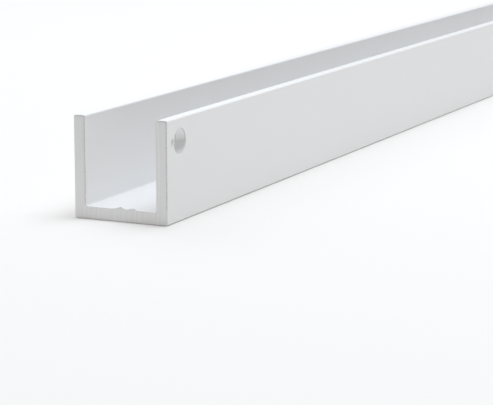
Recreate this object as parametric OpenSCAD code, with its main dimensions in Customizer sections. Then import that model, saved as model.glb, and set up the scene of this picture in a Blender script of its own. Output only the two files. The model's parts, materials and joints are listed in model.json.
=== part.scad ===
// Aluminium U-channel: one length of extruded bar with a square, even-walled section,
// a white coated finish, square sawn ends and a hang hole drilled near one end.
// The bar lies along Y on its web, with its open side up. The origin is in the middle
// of the underside, and the hang hole is in the +X flange near the -Y end.
// All sizes are in millimetres and are taken over the coat.

/* [Section] */
// Outside width, across both flanges
section_width = 25; // [20:0.5:60]
// Outside height, from the underside to the flange tips
section_height = 25; // [20:0.5:60]
// Thickness of each flange
flange_thickness = 3; // [1.5:0.1:5]
// Thickness of the web that joins the flanges
web_thickness = 3; // [1.5:0.1:5]
// Radius of the outside corners where the web turns into the flanges
outer_corner_radius = 0.4; // [0.1:0.05:1.4]
// Radius of the two long edges on each flange tip
tip_edge_radius = 0.4; // [0.1:0.05:0.7]
// Radius of the fillets inside, between the web and the flanges
root_fillet_radius = 0.4; // [0.1:0.05:2]

/* [Bar] */
// Length of the bar as it is sold
bar_length = 1000; // [100:50:3000]

/* [Hang hole] */
// Diameter of the hole that the bar hangs from while it is coated
hang_hole_diameter = 6.5; // [3:0.1:9]
// From the sawn end to the middle of the hole
hang_hole_from_end = 6.5; // [5:0.5:60]
// From the flange tip down to the middle of the hole
hang_hole_from_tip = 5.5; // [5:0.5:9]

/* [Hidden] */
$fn = 64;

// How far a cutter reaches past the faces that it cuts
overcut = 1;
// Clear width of the channel, between the flanges
channel_width = section_width - 2 * flange_thickness;
coat_white = [0.93, 0.93, 0.93];

// The corner piece between a quarter round and the square corner at the origin, whose
// sides run along +X and +Y. It also reaches past the corner, into what lies behind it.
module spandrel(radius, reach) {
    difference() {
        translate([-reach, -reach])
            square(radius + reach);
        translate([radius, radius])
            circle(r = radius);
    }
}

// The web and both flanges with square corners, open towards +Y
module square_cornered_section() {
    difference() {
        translate([-section_width / 2, 0])
            square([section_width, section_height]);
        translate([-channel_width / 2, web_thickness])
            square([channel_width, section_height]);
    }
}

// The die's outline: the fillets fill the inside corners, and every edge outside is eased
module u_section() {
    difference() {
        union() {
            square_cornered_section();
            for (side = [0, 1])
                mirror([side, 0, 0])
                    translate([-channel_width / 2, web_thickness])
                        spandrel(root_fillet_radius, min(flange_thickness, web_thickness) / 2);
        }
        for (side = [0, 1])
            mirror([side, 0, 0]) {
                translate([-section_width / 2, 0])
                    spandrel(outer_corner_radius, overcut);
                translate([-section_width / 2, section_height])
                    rotate(-90)
                        spandrel(tip_edge_radius, overcut);
                translate([-channel_width / 2, section_height])
                    rotate(180)
                        spandrel(tip_edge_radius, overcut);
            }
    }
}

// The drill's path through the +X flange only
module hang_hole() {
    translate([
        section_width / 2 - flange_thickness - overcut,
        hang_hole_from_end - bar_length / 2,
        section_height - hang_hole_from_tip
    ])
        rotate([0, 90, 0])
            cylinder(d = hang_hole_diameter, h = flange_thickness + 2 * overcut);
}

// The whole bar: extruded along Y, sawn square at both ends and drilled
module u_channel() {
    color(coat_white)
        difference() {
            rotate([90, 0, 0])
                linear_extrude(height = bar_length, center = true)
                    u_section();
            hang_hole();
        }
}

u_channel();
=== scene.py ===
"""A length of white powder-coated aluminium U-channel on a white floor, its sawn end towards the camera."""

import json
import math

import bmesh
import bpy
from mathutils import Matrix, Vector, noise


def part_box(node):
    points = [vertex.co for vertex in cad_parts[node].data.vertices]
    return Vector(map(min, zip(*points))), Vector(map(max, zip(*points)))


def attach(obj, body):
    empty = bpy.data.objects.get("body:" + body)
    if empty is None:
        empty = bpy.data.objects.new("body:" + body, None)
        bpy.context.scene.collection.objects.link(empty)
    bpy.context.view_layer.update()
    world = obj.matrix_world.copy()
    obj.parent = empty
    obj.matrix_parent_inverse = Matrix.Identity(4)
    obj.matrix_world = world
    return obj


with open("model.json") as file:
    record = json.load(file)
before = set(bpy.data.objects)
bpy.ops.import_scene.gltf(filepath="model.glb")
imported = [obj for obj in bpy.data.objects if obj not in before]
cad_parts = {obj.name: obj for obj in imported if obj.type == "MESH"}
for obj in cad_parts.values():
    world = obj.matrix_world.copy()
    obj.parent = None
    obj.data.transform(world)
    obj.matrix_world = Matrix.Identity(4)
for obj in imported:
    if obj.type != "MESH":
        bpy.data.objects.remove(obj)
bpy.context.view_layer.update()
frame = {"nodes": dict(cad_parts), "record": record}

# The bar
# One extruded length of aluminium U-channel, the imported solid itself. It was hung up, sprayed with
# white polyester powder and baked, so one even satin skin covers all its long faces.
MM = 0.001
bar = frame["nodes"]["u_channel"]
bar_low, bar_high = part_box("u_channel")


def linear(hex_colour):
    """An sRGB hex colour as the linear RGBA that shaders take."""
    channels = [int(hex_colour[i:i + 2], 16) / 255 for i in (1, 3, 5)]
    return (*[c / 12.92 if c <= 0.04045 else ((c + 0.055) / 1.055) ** 2.4 for c in channels], 1.0)


def add_node(tree, kind, inputs, **settings):
    """Adds a node, applies its settings, and fills its inputs: a socket is linked, a value is set."""
    made = tree.nodes.new(kind)
    for name, value in settings.items():
        setattr(made, name, value)
    for name, value in inputs.items():
        if isinstance(value, bpy.types.NodeSocket):
            tree.links.new(value, made.inputs[name])
        else:
            made.inputs[name].default_value = value
    return made


def blank_material(name):
    """A new material with an empty node tree, and that tree."""
    material = bpy.data.materials.new(name)
    material.use_nodes = True
    material.node_tree.nodes.clear()
    return material, material.node_tree


# Baked polyester powder: an even satin white with a soft, broad shine and a faint orange peel.
COAT_WHITE = "#F0F0F0"
COAT_SHADE = "#EDEDED"
COAT_ROUGHNESS = (0.38, 0.46)
ORANGE_PEEL_MM = 1.8
ORANGE_PEEL_DEPTH_MM = 0.004
CLOUD_MM = 40.0

powder_coat, tree = blank_material("white_powder_coat")
place = add_node(tree, "ShaderNodeTexCoord", {}).outputs["Object"]
clouds = add_node(tree, "ShaderNodeTexNoise", {
    "Vector": place,
    "Scale": 1 / (CLOUD_MM * MM),
    "Detail": 2.0,
})
# A Mix node's colour sockets are its inputs 6 and 7 and its output 2
tint = add_node(tree, "ShaderNodeMix", {
    "Factor": clouds.outputs["Fac"],
    6: linear(COAT_SHADE),
    7: linear(COAT_WHITE),
}, data_type="RGBA")
peel = add_node(tree, "ShaderNodeTexNoise", {
    "Vector": place,
    "Scale": 1 / (ORANGE_PEEL_MM * MM),
    "Detail": 1.0,
})
gloss = add_node(tree, "ShaderNodeMapRange", {
    "Value": peel.outputs["Fac"],
    "To Min": COAT_ROUGHNESS[0],
    "To Max": COAT_ROUGHNESS[1],
})
relief = add_node(tree, "ShaderNodeBump", {
    "Height": peel.outputs["Fac"],
    "Strength": 1.0,
    "Distance": ORANGE_PEEL_DEPTH_MM * MM,
})
skin = add_node(tree, "ShaderNodeBsdfPrincipled", {
    "Base Color": tint.outputs[2],
    "Roughness": gloss.outputs["Result"],
    "Normal": relief.outputs["Normal"],
})
add_node(tree, "ShaderNodeOutputMaterial", {"Surface": skin.outputs["BSDF"]})
bar.material_slots[0].material = powder_coat

# The sawn ends
# Both ends were cut square by a circular saw after coating, so bare aluminium shows there. The blade left
# nearly upright arcs and a thin torn lip along the edges where it broke out of the flanges, and at the
# drilled end it also tore two flakes of burr up from the web.
mounts = {mount["name"]: mount for mount in frame["record"]["mounts"]}
WALL = mounts["channel_floor"]["pos_m"][2]
EDGE_RADIUS = 0.4 * MM
HALF_WIDTH = bar_high.x
TIP_HEIGHT = bar_high.z
# The skin of cut metal: how its points are spaced, and how far it stands out of the bar and sits in it
GRID = 0.2 * MM
COARSE_GRID = 3 * GRID
NEAR_FACE = [0, 0.03 * MM, 0.1 * MM, 0.22 * MM]
FLANGE_ROWS = 50
CORNER_STEP = math.pi / 16
PROUD = 0.04 * MM
EDGE_BREAK = 0.03 * MM
ROOTED = 0.12 * MM
TUCK = 0.05 * MM
SHARP_FROM = math.radians(35)
# The saw: its blade's size and middle, and the marks that its teeth left
BLADE_RADIUS = 150 * MM
BLADE_HEIGHT = 14 * MM
TOOTH_MARK = 0.9 * MM
TOOTH_MARK_DEPTH = 0.02 * MM
RAGGED = 0.03 * MM
RAGGED_SPACING = 0.5 * MM
# The torn lip, which varies in size and tapers off towards both its ends
LIP_HALF_WIDTH = 0.17 * MM
LIP_SET_BACK = 0.04 * MM
LIP_CREST = 0.06 * MM
LIP_UNEVEN = 0.8
LIP_TAPER = 1.0 * MM
LIP_END_SIZE = 0.2
LIP_SIDES = 8
LIP_CORNER_STEP = math.pi / 8
# The burr: its places across the web with its height there, in millimetres, and its back's share of that
BURR_OUTLINE = [(-2.4, 0), (-1.2, 0.14), (-0.3, 0.55), (0.25, 0.5), (0.8, 0.2), (1.6, 0.05),
                (2.4, 0.28), (3.0, 0.42), (3.8, 0.4), (3.95, 0)]
BURR_BACK = 0.8


def spread(start, end, longest):
    """Even steps from start to end, both kept, none longer than longest."""
    steps = max(1, math.ceil(abs(end - start) / longest))
    return [start + (end - start) * i / steps for i in range(steps + 1)]


def burr_height(x):
    """How far the drilled end's burr stands above the web at x."""
    for (x0, h0), (x1, h1) in zip(BURR_OUTLINE, BURR_OUTLINE[1:]):
        if x0 * MM <= x < x1 * MM:
            return (h0 + (h1 - h0) * (x / MM - x0) / (x1 - x0)) * MM
    return 0.0


def tip_top(across):
    """Height of a flange tip with its two rounded edges, at a distance from the flange's outer face."""
    to_side = min(across, WALL - across)
    if to_side >= EDGE_RADIUS:
        return TIP_HEIGHT
    return TIP_HEIGHT - EDGE_RADIUS + math.sqrt(EDGE_RADIUS ** 2 - (EDGE_RADIUS - to_side) ** 2)


def cut_face_rows():
    """The U-shaped cut face as rows of (x, z) points, from the left tip round to the right tip.

    Each row crosses the wall from its outer face to its inner face, closer together near both.
    """
    near_inner_face = [WALL - a for a in reversed(NEAR_FACE)]
    across = NEAR_FACE + spread(EDGE_RADIUS, WALL - EDGE_RADIUS, GRID) + near_inner_face
    root = WALL + EDGE_RADIUS
    rows = []
    for level in spread(0, 1, 1 / FLANGE_ROWS)[:-1]:
        rows.append([(a - HALF_WIDTH, tip_top(a) + (root - tip_top(a)) * level) for a in across])
    outer = [(-HALF_WIDTH, z) for z in spread(root, EDGE_RADIUS, COARSE_GRID)[:-1]]
    for turn in spread(math.pi, 1.5 * math.pi, CORNER_STEP):
        outer.append((EDGE_RADIUS * (1 + math.cos(turn)) - HALF_WIDTH, EDGE_RADIUS * (1 + math.sin(turn))))
    outer += [(x, 0) for x in spread(EDGE_RADIUS - HALF_WIDTH, root - HALF_WIDTH, COARSE_GRID)[1:-1]]
    for i, (x, z) in enumerate(outer):
        turn = math.pi * (1 + 0.5 * i / len(outer))
        inner_x = root - HALF_WIDTH + EDGE_RADIUS * math.cos(turn)
        inner_z = root + EDGE_RADIUS * math.sin(turn)
        rows.append([(x + (inner_x - x) * a / WALL, z + (inner_z - z) * a / WALL) for a in across])
    for x in spread(root - HALF_WIDTH, 0, GRID):
        rows.append([(x, a) for a in across])
    return rows + [[(-x, z) for x, z in row] for row in reversed(rows[:-1])]


def riding_piece(name, mesh):
    """Makes a piece of a finished bmesh, on the bar's body."""
    bmesh.ops.recalc_face_normals(mesh, faces=mesh.faces)
    data = bpy.data.meshes.new(name)
    mesh.to_mesh(data)
    mesh.free()
    data.shade_smooth()
    data.set_sharp_from_angle(angle=SHARP_FROM)
    piece = bpy.data.objects.new(name, data)
    bpy.context.scene.collection.objects.link(piece)
    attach(piece, "root")
    return piece


def sawn_end(name, end_y, outward, burr):
    """A skin of sawn metal over one end: its front carries the saw's marks, its back sits in the bar."""
    rows = cut_face_rows()
    last_row, last_column = len(rows) - 1, len(rows[0]) - 1
    mesh = bmesh.new()
    front, back = [], []
    for i, row in enumerate(rows):
        middle = Vector(row[last_column // 2])
        front.append([])
        back.append([])
        for j, (x, z) in enumerate(row):
            rim = i in (0, last_row) or j in (0, last_column)
            away = (Vector((x, z)) - middle).normalized()
            arc = math.hypot(x + BLADE_RADIUS, z - BLADE_HEIGHT)
            mark = TOOTH_MARK_DEPTH * noise.noise((arc / TOOTH_MARK, outward, 0))
            ragged = RAGGED * noise.noise((x / RAGGED_SPACING, z / RAGGED_SPACING, outward)) if rim else 0
            lift = burr(x) if j == last_column and abs(x) < HALF_WIDTH - WALL - EDGE_RADIUS else 0
            out = PROUD + mark - (EDGE_BREAK if rim else 0)
            shift = away * ragged
            front[i].append(mesh.verts.new((x + shift.x, end_y + outward * out, z + shift.y + lift)))
            tuck = away * (-TUCK if rim else 0)
            behind = (x + tuck.x, end_y - outward * ROOTED, z + tuck.y + BURR_BACK * lift)
            back[i].append(mesh.verts.new(behind))
    for i in range(last_row):
        for j in range(last_column):
            for side in (front, back):
                mesh.faces.new((side[i][j], side[i + 1][j], side[i + 1][j + 1], side[i][j + 1]))
        for j in (0, last_column):
            mesh.faces.new((front[i][j], front[i + 1][j], back[i + 1][j], back[i][j]))
    for i in (0, last_row):
        for j in range(last_column):
            mesh.faces.new((front[i][j], front[i][j + 1], back[i][j + 1], back[i][j]))
    return riding_piece(name, mesh)


def torn_lip(name, end_y, outward):
    """The lip at one end where the blade broke out, up the +X edge of both flanges and over their tips."""
    low, high = WALL + EDGE_RADIUS, TIP_HEIGHT - EDGE_RADIUS
    mesh = bmesh.new()
    for edge_x in (WALL - HALF_WIDTH, HALF_WIDTH):
        turned = edge_x - EDGE_RADIUS
        route = [(Vector((edge_x, 0, z)), Vector((1, 0, 0))) for z in spread(low, high, GRID)]
        for turn in spread(0, math.pi / 2, LIP_CORNER_STEP)[1:]:
            out = Vector((math.cos(turn), 0, math.sin(turn)))
            route.append((Vector((turned, 0, high)) + EDGE_RADIUS * out, out))
        for x in spread(turned, edge_x - WALL + EDGE_RADIUS, GRID)[1:]:
            route.append((Vector((x, 0, TIP_HEIGHT)), Vector((0, 0, 1))))
        rings = []
        for i, (edge, out) in enumerate(route):
            ragged = noise.noise((edge.x / RAGGED_SPACING, edge.z / RAGGED_SPACING, outward))
            to_end = min(i, len(route) - 1 - i) * GRID
            size = (1 + LIP_UNEVEN * ragged) * min(1, LIP_END_SIZE + to_end / LIP_TAPER)
            middle = edge - (LIP_SET_BACK + LIP_HALF_WIDTH) * out + Vector((0, end_y + outward * PROUD, 0))
            ring = []
            for turn in spread(0, 2 * math.pi, 2 * math.pi / LIP_SIDES)[:-1]:
                crest = Vector((0, LIP_CREST * math.sin(turn), 0))
                round_it = LIP_HALF_WIDTH * math.cos(turn) * out + crest
                ring.append(mesh.verts.new(middle + size * round_it))
            rings.append(ring)
        for ring, after in zip(rings, rings[1:]):
            for j in range(LIP_SIDES):
                k = (j + 1) % LIP_SIDES
                mesh.faces.new((ring[j], ring[k], after[k], after[j]))
        mesh.faces.new(rings[0])
        mesh.faces.new(rings[-1])
    return riding_piece(name, mesh)


# Sawn aluminium: bare metal with a dull, broken shine, streaked along the arcs that the teeth left.
SAWN_LIGHT = "#ECECEC"
SAWN_DARK = "#DCDCDC"
SAWN_ROUGHNESS = (0.42, 0.56)
STREAK_MM = 0.55
SCRATCH_DEPTH_MM = 0.006

sawn_metal, tree = blank_material("sawn_aluminium")
place = add_node(tree, "ShaderNodeTexCoord", {}).outputs["Object"]
from_blade = add_node(tree, "ShaderNodeMapping", {
    "Vector": place,
    "Location": (BLADE_RADIUS, 0, -BLADE_HEIGHT),
    "Scale": (1, 0, 1),
})
arc = add_node(tree, "ShaderNodeVectorMath", {0: from_blade.outputs["Vector"]}, operation="LENGTH")
streaks = add_node(tree, "ShaderNodeTexNoise", {
    "W": arc.outputs["Value"],
    "Scale": 1 / (STREAK_MM * MM),
    "Detail": 3.0,
}, noise_dimensions="1D")
tint = add_node(tree, "ShaderNodeMix", {
    "Factor": streaks.outputs["Fac"],
    6: linear(SAWN_DARK),
    7: linear(SAWN_LIGHT),
}, data_type="RGBA")
gloss = add_node(tree, "ShaderNodeMapRange", {
    "Value": streaks.outputs["Fac"],
    "To Min": SAWN_ROUGHNESS[0],
    "To Max": SAWN_ROUGHNESS[1],
})
relief = add_node(tree, "ShaderNodeBump", {
    "Height": streaks.outputs["Fac"],
    "Strength": 1.0,
    "Distance": SCRATCH_DEPTH_MM * MM,
})
metal = add_node(tree, "ShaderNodeBsdfPrincipled", {
    "Base Color": tint.outputs[2],
    "Metallic": 1.0,
    "Roughness": gloss.outputs["Result"],
    "Normal": relief.outputs["Normal"],
})
add_node(tree, "ShaderNodeOutputMaterial", {"Surface": metal.outputs["BSDF"]})
for piece in (
    sawn_end("sawn_end_drilled", bar_low.y, -1, burr_height),
    sawn_end("sawn_end_plain", bar_high.y, 1, lambda x: 0.0),
):
    piece.data.materials.append(sawn_metal)

# Torn aluminium, on the lip that the teeth dragged out instead of cutting: duller than the cut face and
# drawn a few shades darker, so a thin dark line runs along the broken edges.
TORN_LIGHT = "#E2E2E2"
TORN_DARK = "#CECECE"
TORN_ROUGHNESS = 0.65
TORN_GRAIN_MM = 0.4

torn_metal, tree = blank_material("torn_aluminium")
place = add_node(tree, "ShaderNodeTexCoord", {}).outputs["Object"]
grain = add_node(tree, "ShaderNodeTexNoise", {
    "Vector": place,
    "Scale": 1 / (TORN_GRAIN_MM * MM),
    "Detail": 2.0,
})
tint = add_node(tree, "ShaderNodeMix", {
    "Factor": grain.outputs["Fac"],
    6: linear(TORN_DARK),
    7: linear(TORN_LIGHT),
}, data_type="RGBA")
relief = add_node(tree, "ShaderNodeBump", {
    "Height": grain.outputs["Fac"],
    "Strength": 1.0,
    "Distance": SCRATCH_DEPTH_MM * MM,
})
metal = add_node(tree, "ShaderNodeBsdfPrincipled", {
    "Base Color": tint.outputs[2],
    "Metallic": 1.0,
    "Roughness": TORN_ROUGHNESS,
    "Normal": relief.outputs["Normal"],
})
add_node(tree, "ShaderNodeOutputMaterial", {"Surface": metal.outputs["BSDF"]})
for piece in (
    torn_lip("torn_lip_drilled", bar_low.y, -1),
    torn_lip("torn_lip_plain", bar_high.y, 1),
):
    piece.data.materials.append(torn_metal)

# The hang hole
# A drilled hole that the bar hung from on the coating line. Powder hardly gets into such a hole, so its
# wall has a thin, greyish coat, and round each mouth the powder drew together into a low, uneven bead.
HOLE_CENTRE = Vector(mounts["hang_hole"]["pos_m"])
HOLE_RADIUS = mounts["hang_hole"]["dims"]["r_mm"] * MM
FLANGE_HALF = mounts["hang_hole"]["dims"]["length_mm"] * MM / 2
HOLE_STEPS = 120
BEAD_STEPS = 12
WALL_STEPS = 10
LINING_DEPTH = 0.1 * MM
LINING_UNEVEN = 0.7
BEAD_HALF_WIDTH = 0.24 * MM
BEAD_CREST = 0.045 * MM
BEAD_UNEVEN = 0.8
BEAD_ROOT = 0.06 * MM
BEAD_SPACING = 0.9 * MM
LUMP_TURN = math.radians(-20)
LUMP_SPREAD = math.radians(14)
LUMP_CREST = 0.12 * MM
CHIP_TURN = math.radians(173)
CHIP_SPREAD = math.radians(12)


def bump_at(turn, middle, half_width):
    """A smooth bump, 1 at its middle turn and fading out on both sides of it."""
    return math.exp(-(math.remainder(turn - middle, 2 * math.pi) / half_width) ** 2)


def bead_crest(turn):
    """How far the bead stands proud of the flange's face, at a turn round the hole."""
    around = Vector((math.cos(turn), math.sin(turn), 0)) * (HOLE_RADIUS / BEAD_SPACING)
    bead = BEAD_CREST * (1 + BEAD_UNEVEN * noise.noise(around))
    lump = LUMP_CREST * bump_at(turn, LUMP_TURN, LUMP_SPREAD)
    return (bead + lump) * (1 - bump_at(turn, CHIP_TURN, CHIP_SPREAD))


def lining_profile(turn):
    """The lining's closed outline at one turn, as (radius, x from the middle of the flange).

    It is thickest on the side towards the flange's tip, which drew more powder.
    """
    inside = HOLE_RADIUS - LINING_DEPTH * (1 + LINING_UNEVEN * math.sin(turn))
    middle = inside + BEAD_HALF_WIDTH
    rise = BEAD_ROOT + bead_crest(turn)
    bead = [
        (middle + BEAD_HALF_WIDTH * math.cos(a), FLANGE_HALF - BEAD_ROOT + rise * math.sin(a))
        for a in spread(0, math.pi, math.pi / BEAD_STEPS)
    ]
    wall = spread(FLANGE_HALF - BEAD_ROOT, BEAD_ROOT - FLANGE_HALF, 2 * FLANGE_HALF / WALL_STEPS)
    return bead + [(inside, x) for x in wall[1:-1]] + [(r, -x) for r, x in reversed(bead)]


mesh = bmesh.new()
rings = []
for step in range(HOLE_STEPS):
    turn = 2 * math.pi * step / HOLE_STEPS - math.pi
    along, up = math.cos(turn), math.sin(turn)
    rings.append([
        mesh.verts.new(HOLE_CENTRE + Vector((x, r * along, r * up))) for r, x in lining_profile(turn)
    ])
for i, ring in enumerate(rings):
    after = rings[(i + 1) % HOLE_STEPS]
    for j in range(len(ring)):
        k = (j + 1) % len(ring)
        mesh.faces.new((ring[j], ring[k], after[k], after[j]))
lining = riding_piece("hang_hole_lining", mesh)

# Thin powder over drilled aluminium: greyish, lighter on the upper side, partly from the thicker powder
# towards the flange's tip and partly as painted light on the upper wall, with a painted shade along the
# upper part of each mouth's edge, and white on the beads.
# The drill's rings are drawn about three times as coarse as it leaves them, so that they show.
THIN_POWDER = "#DADADA"
# Lighter towards the top: thicker powder there, and painted light on the upper wall
THICKER_POWDER_AND_LIGHT = "#F3F3F3"
RING_SHARE = 0.3
DRILL_RING_MM = 0.3
DRILL_RING_DEPTH_MM = 0.006
# Painted shade along the upper part of each mouth's edge
MOUTH_EDGE_PAINTED_SHADE = "#D0D0D0"
# Shares of the hole's radius, upwards, and of half the flange's thickness, outwards
THICKER_AND_LIT = (-0.3, 0.45)
# Where that painted shade lies: up the bore, and out towards each mouth
PAINTED_SHADE_ABOVE = (-0.4, -0.1)
PAINTED_SHADE_EDGE = (0.72, 0.86)
FULL_COAT = (0.97, 1.02)

thin_powder, tree = blank_material("thin_powder_over_aluminium")
place = add_node(tree, "ShaderNodeTexCoord", {}).outputs["Object"]
from_middle = add_node(tree, "ShaderNodeVectorMath", {0: place, 1: HOLE_CENTRE}, operation="SUBTRACT")
offset = add_node(tree, "ShaderNodeSeparateXYZ", {"Vector": from_middle.outputs["Vector"]})
drill_rings = add_node(tree, "ShaderNodeTexNoise", {
    "W": offset.outputs["X"],
    "Scale": 1 / (DRILL_RING_MM * MM),
    "Detail": 2.0,
}, noise_dimensions="1D")
off_middle = add_node(tree, "ShaderNodeMath", {0: offset.outputs["X"]}, operation="ABSOLUTE")
masks = []
for distance, unit, (begins, ends) in (
    (offset.outputs["Z"], HOLE_RADIUS, THICKER_AND_LIT),
    (offset.outputs["Z"], HOLE_RADIUS, PAINTED_SHADE_ABOVE),
    (off_middle.outputs["Value"], FLANGE_HALF, PAINTED_SHADE_EDGE),
    (off_middle.outputs["Value"], FLANGE_HALF, FULL_COAT),
):
    mask = add_node(tree, "ShaderNodeMapRange", {
        "Value": distance,
        "From Min": begins * unit,
        "From Max": ends * unit,
    }, interpolation_type="SMOOTHSTEP")
    masks.append(mask.outputs["Result"])
# The first mask lightens the upper wall, partly thicker powder and partly painted light; the next two place
# the painted shade at the mouths
towards_tip_and_lit, above, at_edge, at_mouth = masks
cover = add_node(tree, "ShaderNodeMix", {
    "Factor": RING_SHARE,
    "A": towards_tip_and_lit,
    "B": drill_rings.outputs["Fac"],
}, data_type="FLOAT")
# The painted shade at the mouths' edges, on the upper part of the bore
mouth_edge_shade = add_node(tree, "ShaderNodeMath", {0: above, 1: at_edge}, operation="MULTIPLY")
tint = add_node(tree, "ShaderNodeMix", {
    "Factor": cover.outputs["Result"],
    6: linear(THIN_POWDER),
    7: linear(THICKER_POWDER_AND_LIGHT),
}, data_type="RGBA")
for share, colour in ((mouth_edge_shade.outputs["Value"], MOUTH_EDGE_PAINTED_SHADE), (at_mouth, COAT_WHITE)):
    tint = add_node(tree, "ShaderNodeMix", {
        "Factor": share,
        6: tint.outputs[2],
        7: linear(colour),
    }, data_type="RGBA")
relief = add_node(tree, "ShaderNodeBump", {
    "Height": drill_rings.outputs["Fac"],
    "Strength": 1.0,
    "Distance": DRILL_RING_DEPTH_MM * MM,
})
skin = add_node(tree, "ShaderNodeBsdfPrincipled", {
    "Base Color": tint.outputs[2],
    "Roughness": COAT_ROUGHNESS[1],
    "Normal": relief.outputs["Normal"],
})
add_node(tree, "ShaderNodeOutputMaterial", {"Surface": skin.outputs["BSDF"]})
lining.data.materials.append(thin_powder)

# The hook mark
# A small scar at the rim of the hole, where the hook rubbed against the flange and chipped the powder
# off. Bare, dulled aluminium shows in it, with a faint scratch that runs down from it.
MARK_FROM_END = 2.75 * MM
MARK_HEIGHT = 19.87 * MM
MARK_HALF_WIDTH = 0.66 * MM
MARK_HALF_HEIGHT = 0.58 * MM
MARK_UNEVEN = 0.25
MARK_LUMPS = 1.4
MARK_NOISE_SLICE = 0.5
SCRATCH_LENGTH = 1.8 * MM
SCRATCH_TURN = math.radians(-115)
SCRATCH_SPREAD = math.radians(20)
MARK_STEPS = 72
MARK_RINGS = 8
MARK_LIP = 0.03 * MM
MARK_FLOOR = 0.01 * MM
MARK_ROOT = 0.1 * MM
# Where the scar's lip lies and how wide it is, as shares of the scar's reach
MARK_LIP_AT = 0.8
MARK_LIP_SPREAD = 0.12


def mark_reach(turn):
    """How far the scar reaches from its middle, at a turn round it."""
    around = Vector((math.cos(turn), math.sin(turn), MARK_NOISE_SLICE)) * MARK_LUMPS
    oval = 1 / math.hypot(math.cos(turn) / MARK_HALF_WIDTH, math.sin(turn) / MARK_HALF_HEIGHT)
    scratch = (SCRATCH_LENGTH - MARK_HALF_HEIGHT) * bump_at(turn, SCRATCH_TURN, SCRATCH_SPREAD)
    return oval * (1 + MARK_UNEVEN * noise.noise(around)) + scratch


mark_centre = Vector((bar_high.x, bar_low.y + MARK_FROM_END, MARK_HEIGHT))
mesh = bmesh.new()
top = mesh.verts.new(mark_centre + Vector((MARK_FLOOR, 0, 0)))
bottom = mesh.verts.new(mark_centre - Vector((MARK_ROOT, 0, 0)))
spokes = []
for step in range(MARK_STEPS):
    turn = 2 * math.pi * step / MARK_STEPS - math.pi
    spoke = []
    for ring in range(1, MARK_RINGS + 1):
        share = ring / MARK_RINGS
        crest = math.exp(-((share - MARK_LIP_AT) / MARK_LIP_SPREAD) ** 2)
        lip = MARK_FLOOR + (MARK_LIP - MARK_FLOOR) * crest
        height = lip if ring < MARK_RINGS else -MARK_FLOOR
        flat = Vector((0, math.cos(turn), math.sin(turn))) * mark_reach(turn) * share
        spoke.append(mesh.verts.new(mark_centre + flat + Vector((height, 0, 0))))
    spokes.append(spoke)
for i, spoke in enumerate(spokes):
    after = spokes[(i + 1) % MARK_STEPS]
    mesh.faces.new((top, spoke[0], after[0]))
    mesh.faces.new((bottom, after[-1], spoke[-1]))
    for j in range(MARK_RINGS - 1):
        mesh.faces.new((spoke[j], spoke[j + 1], after[j + 1], after[j]))
mark = riding_piece("hook_mark", mesh)

# Scuffed bare aluminium: dull grey in the middle, running out into powder dust at the edge. The dust keeps
# it from shining as clean metal does.
SCUFF_DARK = "#D2D2D2"
SCUFF_EDGE = "#F0F0F0"
SCUFF_ROUGHNESS = (0.5, 0.7)
SCUFF_METALLIC = 0.7
SCUFF_GRAIN_MM = 0.25
SCUFF_DARK_SHARE = 0.6

scuffed_metal, tree = blank_material("scuffed_aluminium")
place = add_node(tree, "ShaderNodeTexCoord", {}).outputs["Object"]
away = add_node(tree, "ShaderNodeVectorMath", {0: place, 1: mark_centre}, operation="DISTANCE")
outwards = add_node(tree, "ShaderNodeMapRange", {
    "Value": away.outputs["Value"],
    "From Min": SCUFF_DARK_SHARE * MARK_HALF_HEIGHT,
    "From Max": SCRATCH_LENGTH,
}, interpolation_type="SMOOTHSTEP")
grain = add_node(tree, "ShaderNodeTexNoise", {
    "Vector": place,
    "Scale": 1 / (SCUFF_GRAIN_MM * MM),
    "Detail": 2.0,
})
tint = add_node(tree, "ShaderNodeMix", {
    "Factor": outwards.outputs["Result"],
    6: linear(SCUFF_DARK),
    7: linear(SCUFF_EDGE),
}, data_type="RGBA")
relief = add_node(tree, "ShaderNodeBump", {
    "Height": grain.outputs["Fac"],
    "Strength": 1.0,
    "Distance": MARK_FLOOR,
})
gloss = add_node(tree, "ShaderNodeMapRange", {
    "Value": grain.outputs["Fac"],
    "To Min": SCUFF_ROUGHNESS[0],
    "To Max": SCUFF_ROUGHNESS[1],
})
metal = add_node(tree, "ShaderNodeBsdfPrincipled", {
    "Base Color": tint.outputs[2],
    "Metallic": SCUFF_METALLIC,
    "Roughness": gloss.outputs["Result"],
    "Normal": relief.outputs["Normal"],
})
add_node(tree, "ShaderNodeOutputMaterial", {"Surface": metal.outputs["BSDF"]})
mark.data.materials.append(scuffed_metal)

# The floor
# A sheet of matt white board, larger than the picture, that the bar lies on. Neither is perfectly flat,
# so a hair's breadth of dark shows under the bar.
FLOOR_SIDE = 8.0
FLOOR_GAP = 0.08 * MM

floor_mesh = bpy.data.meshes.new("floor")
reach = FLOOR_SIDE / 2
corners = [(-reach, -reach), (reach, -reach), (reach, reach), (-reach, reach)]
floor_mesh.from_pydata([(x, y, -FLOOR_GAP) for x, y in corners], [], [(0, 1, 2, 3)])
floor = bpy.data.objects.new("floor", floor_mesh)
bpy.context.scene.collection.objects.link(floor)

# Matt white board: a dull, faintly warm white with no shine, so that only the bar's soft shadow shows on it.
FLOOR_WHITE = "#EFEDEA"

board, tree = blank_material("matt_white_board")
paper = add_node(tree, "ShaderNodeBsdfDiffuse", {"Color": linear(FLOOR_WHITE)})
add_node(tree, "ShaderNodeOutputMaterial", {"Surface": paper.outputs["BSDF"]})
floor_mesh.materials.append(board)

# The light
# A room with a bright, slightly cool ceiling and dim walls, a large soft lamp above the bar on its right,
# and a larger one on its left, both some way behind the sawn end.
ROOM_WALLS = "#86837A"
ROOM_CEILING = "#EEEEF2"
LAMP_AIM = Vector((0.0, bar_low.y + 0.08, 0.01))
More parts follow.
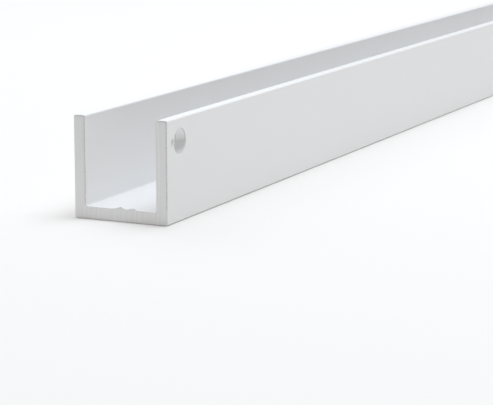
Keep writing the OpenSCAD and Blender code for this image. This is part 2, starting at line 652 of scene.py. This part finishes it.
# Name: where it stands, the side of its square, its power in watts and its colour
SOFT_LAMPS = {
    "right_lamp": ((0.2, -0.2, 1.2), 0.8, 8.3, "#F0F8FF"),
    "left_lamp": ((-0.9, 0.4, 0.8), 1.3, 4.2, "#F4FAFF"),
}

world = bpy.data.worlds.new("room")
world.use_nodes = True
tree = world.node_tree
tree.nodes.clear()
way = add_node(tree, "ShaderNodeTexCoord", {}).outputs["Generated"]
upwards = add_node(tree, "ShaderNodeSeparateXYZ", {"Vector": way})
shade = add_node(tree, "ShaderNodeMix", {
    "Factor": upwards.outputs["Z"],
    6: linear(ROOM_WALLS),
    7: linear(ROOM_CEILING),
}, data_type="RGBA")
room = add_node(tree, "ShaderNodeBackground", {"Color": shade.outputs[2]})
add_node(tree, "ShaderNodeOutputWorld", {"Surface": room.outputs["Background"]})
bpy.context.scene.world = world

for name, (stands_at, side, watts, colour) in SOFT_LAMPS.items():
    lamp_data = bpy.data.lights.new(name, "AREA")
    lamp_data.size = side
    lamp_data.energy = watts
    lamp_data.color = linear(colour)[:3]
    lamp = bpy.data.objects.new(name, lamp_data)
    lamp.location = stands_at
    lamp.rotation_euler = (LAMP_AIM - lamp.location).to_track_quat("-Z", "Y").to_euler()
    bpy.context.scene.collection.objects.link(lamp)

# The camera
# A long lens that looks down on the bar from the drilled side of its sawn end. It stands where the bar's
# nearest bottom corner falls on its own pixel of the picture, at the depth given.
IMAGE_PX = (493, 405)
SENSOR_MM = 36.0
FOCAL_PX = 2029.0
AZIMUTH_DEG = 25.1
ELEVATION_DEG = 11.05
CORNER_PX = (167.8, 226.2)
CORNER_DEPTH = 0.4788

camera_data = bpy.data.cameras.new("camera")
camera_data.sensor_width = SENSOR_MM
camera_data.lens = SENSOR_MM * FOCAL_PX / IMAGE_PX[0]
camera = bpy.data.objects.new("camera", camera_data)
camera.rotation_euler = (math.radians(90 - ELEVATION_DEG), 0, math.radians(AZIMUTH_DEG))
near_corner = Vector((bar_high.x, bar_low.y, bar_low.z))
across = (CORNER_PX[0] - IMAGE_PX[0] / 2) / FOCAL_PX
down = (CORNER_PX[1] - IMAGE_PX[1] / 2) / FOCAL_PX
to_corner = Vector((across, -down, -1)) * CORNER_DEPTH
camera.location = near_corner - camera.rotation_euler.to_matrix() @ to_corner
bpy.context.scene.collection.objects.link(camera)
bpy.context.scene.camera = camera

bpy.context.scene.view_settings.view_transform = "Standard"
